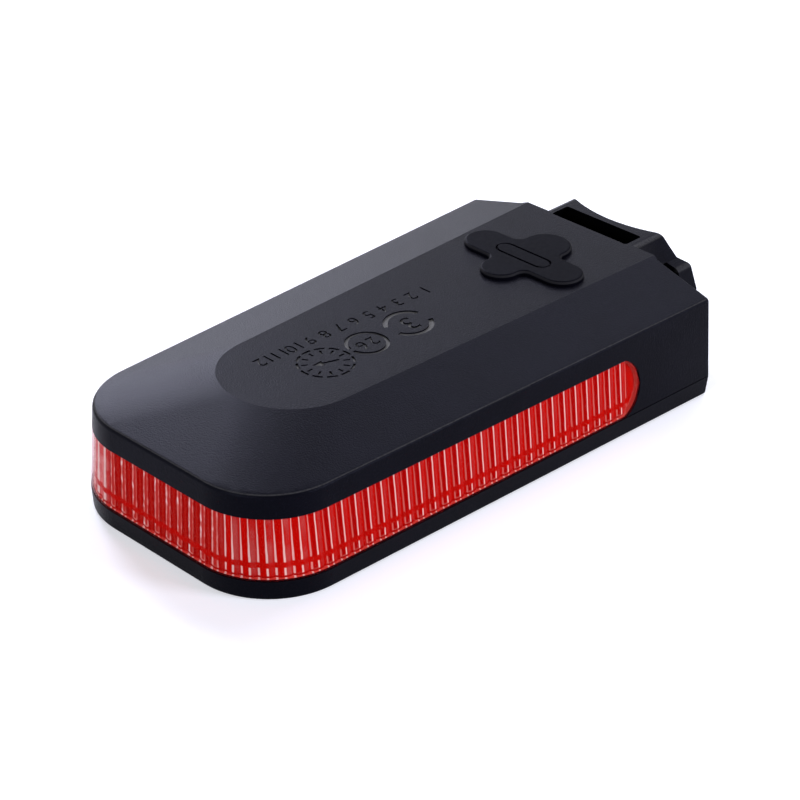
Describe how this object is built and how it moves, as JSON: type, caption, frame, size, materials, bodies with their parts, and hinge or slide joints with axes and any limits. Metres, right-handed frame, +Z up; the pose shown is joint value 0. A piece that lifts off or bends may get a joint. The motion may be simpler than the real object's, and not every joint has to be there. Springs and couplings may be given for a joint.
{
  "type": "bicycle tail light",
  "caption": "Slim rear bicycle light: black housing, fluted red lens round the sides and front, rubber-covered charging port, curved seat for a seatpost.",
  "frame": {"origin": "centre of the light's box, on the underside of the lower cover that it rests on", "axes": "+X along the light towards the seatpost, +Y across, +Z up to the face with the charging port"},
  "size_m": [0.0669, 0.0344, 0.0136],
  "materials": {
    "black_abs": "fine spark-eroded grain",
    "red_lens": "clear red polycarbonate, polished outside, fluted inside",
    "black_rubber": "moulded silicone, satin",
    "grey_silicone": "soft silicone",
    "white_abs": "white, slightly glossy",
    "board_green": "solder mask on glass fibre",
    "lamp_white": "moulded lamp package",
    "plated_steel": "nickel plated",
    "connector_black": "moulded",
    "cell_foil": "pouch foil",
    "foam_grey": "adhesive foam",
    "chip_black": "moulded epoxy",
    "clear_pc": "clear polycarbonate",
    "black_steel": "black oxide"
  },
  "bodies": {
    "housing": {"upper_housing": "black_abs", "lower_cover": "black_abs", "lens_band": "red_lens", "lens_gasket": "grey_silicone", "cover_seal": "grey_silicone", "reflector_frame": "white_abs", "main_board": "board_green", "lamp_chips": "lamp_white", "usb_receptacle": "plated_steel", "usb_contact_block": "connector_black", "port_collar": "grey_silicone", "usb_cover_anchor": "black_rubber", "battery_cell": "cell_foil", "battery_foam_pad": "foam_grey", "battery_guard_board": "board_green", "battery_strips": "plated_steel", "control_chip": "chip_black", "charge_chip": "chip_black", "boost_coil": "chip_black", "passive_parts": "lamp_white", "switch_body": "connector_black", "switch_terminals": "plated_steel", "button_retainer": "black_abs", "status_lamp": "lamp_white", "status_light_pipe": "clear_pc", "cover_screws": "black_steel"},
    "usb_flap": {"usb_cover_flap": "black_rubber"},
    "button": {"power_button": "black_rubber", "switch_plunger": "connector_black"}
  },
  "joints": [
    {"name": "usb_flap_hinge", "type": "hinge", "parent": "housing", "child": "usb_flap", "pos_m": [0.01886, 0, 0.01355], "axis": [0, 1, 0], "range_deg": [0, 110], "stiffness_Nm_per_rad": 0.0002},
    {"name": "power_button_press", "type": "slide", "parent": "housing", "child": "button", "axis": [0, 0, 1], "range_m": [0, 0.00035], "stiffness_N_per_m": 3000}
  ]
}
